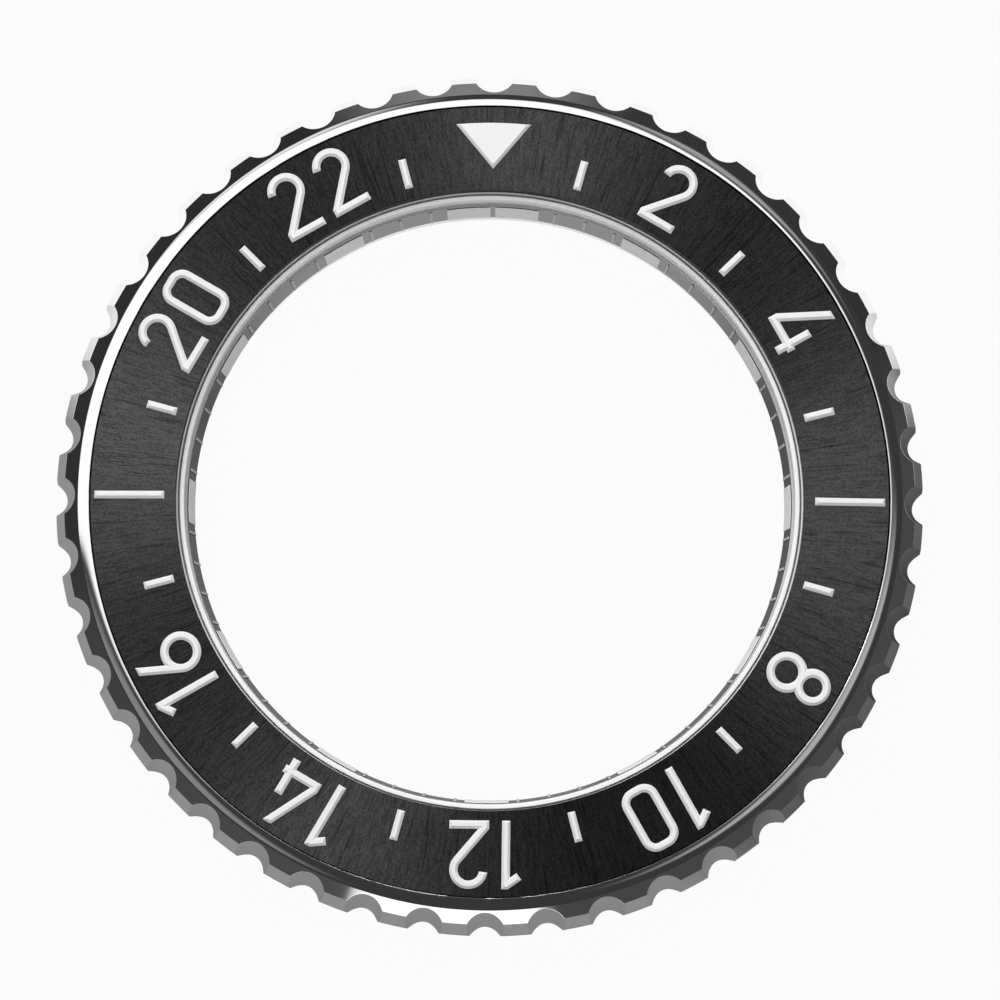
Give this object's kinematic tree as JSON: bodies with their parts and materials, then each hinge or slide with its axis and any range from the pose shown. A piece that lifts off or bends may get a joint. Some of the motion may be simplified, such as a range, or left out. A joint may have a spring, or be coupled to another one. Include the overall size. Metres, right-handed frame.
{
  "type": "rotating watch bezel",
  "caption": "Rotating second-time-zone watch bezel: notched steel ring, dark numbered insert and ball click, turning on its seat with flange ring and crystal gasket.",
  "frame": {"origin": "on the turning axis, at the lower end of the seat's spigot", "axes": "+Z is the turning axis, out of the bezel's face; +Y points to the triangle marker at rest; +X to the six-hour index"},
  "size_m": [0.041, 0.041, 0.0049],
  "materials": {
    "bezel_steel": "mirror-polished steel",
    "insert_black": "radially brushed, black coated",
    "marker_white": "satin white, raised, with bevelled edges",
    "adhesive_film": "black adhesive film",
    "click_steel": "hardened, turned",
    "seat_steel": "fine turned steel",
    "flange_mirror": "mirror-polished, dark",
    "flange_print": "white print",
    "flange_print_faint": "light grey print",
    "gasket_nylon": "pale nylon with fine turned lines",
    "spring_steel": "drawn wire",
    "friction_nylon": "black nylon",
    "ball_steel": "polished balls"
  },
  "bodies": {
    "seat": {"seat_ring": "seat_steel", "flange_ring": "flange_mirror", "flange_hour_marks": "flange_print", "flange_minute_marks": "flange_print_faint", "crystal_gasket": "gasket_nylon", "retaining_wire": "spring_steel", "friction_ring": "friction_nylon", "click_spring_1": "spring_steel", "click_spring_2": "spring_steel", "click_spring_3": "spring_steel"},
    "bezel": {"bezel_ring": "bezel_steel", "insert_ring": "insert_black", "insert_adhesive": "adhesive_film", "click_ring": "click_steel", "marker_triangle": "marker_white", "index_6": "marker_white", "index_18": "marker_white", "tick_1": "marker_white", "tick_3": "marker_white", "tick_5": "marker_white", "tick_7": "marker_white", "tick_9": "marker_white", "tick_11": "marker_white", "tick_13": "marker_white", "tick_15": "marker_white", "tick_17": "marker_white", "tick_19": "marker_white", "tick_21": "marker_white", "tick_23": "marker_white", "numeral_2": "marker_white", "numeral_4": "marker_white", "numeral_8": "marker_white", "numeral_10": "marker_white", "numeral_12": "marker_white", "numeral_14": "marker_white", "numeral_16": "marker_white", "numeral_20": "marker_white", "numeral_22": "marker_white"},
    "ball_1": {"click_ball_1": "ball_steel"},
    "ball_2": {"click_ball_2": "ball_steel"},
    "ball_3": {"click_ball_3": "ball_steel"}
  },
  "joints": [
    {"name": "bezel_turn", "type": "hinge", "parent": "seat", "child": "bezel", "pos_m": [0, 0, 0.0024], "axis": [0, 0, 1], "continuous": true},
    {"name": "click_ball_1_press", "type": "slide", "parent": "seat", "child": "ball_1", "axis": [0, 0, 1], "range_m": [-0.0003, 0], "stiffness_N_per_m": 200, "deforming": ["click_spring_1"]},
    {"name": "click_ball_2_press", "type": "slide", "parent": "seat", "child": "ball_2", "axis": [0, 0, 1], "range_m": [-0.0003, 0], "stiffness_N_per_m": 200, "deforming": ["click_spring_2"]},
    {"name": "click_ball_3_press", "type": "slide", "parent": "seat", "child": "ball_3", "axis": [0, 0, 1], "range_m": [-0.0003, 0], "stiffness_N_per_m": 200, "deforming": ["click_spring_3"]}
  ]
}
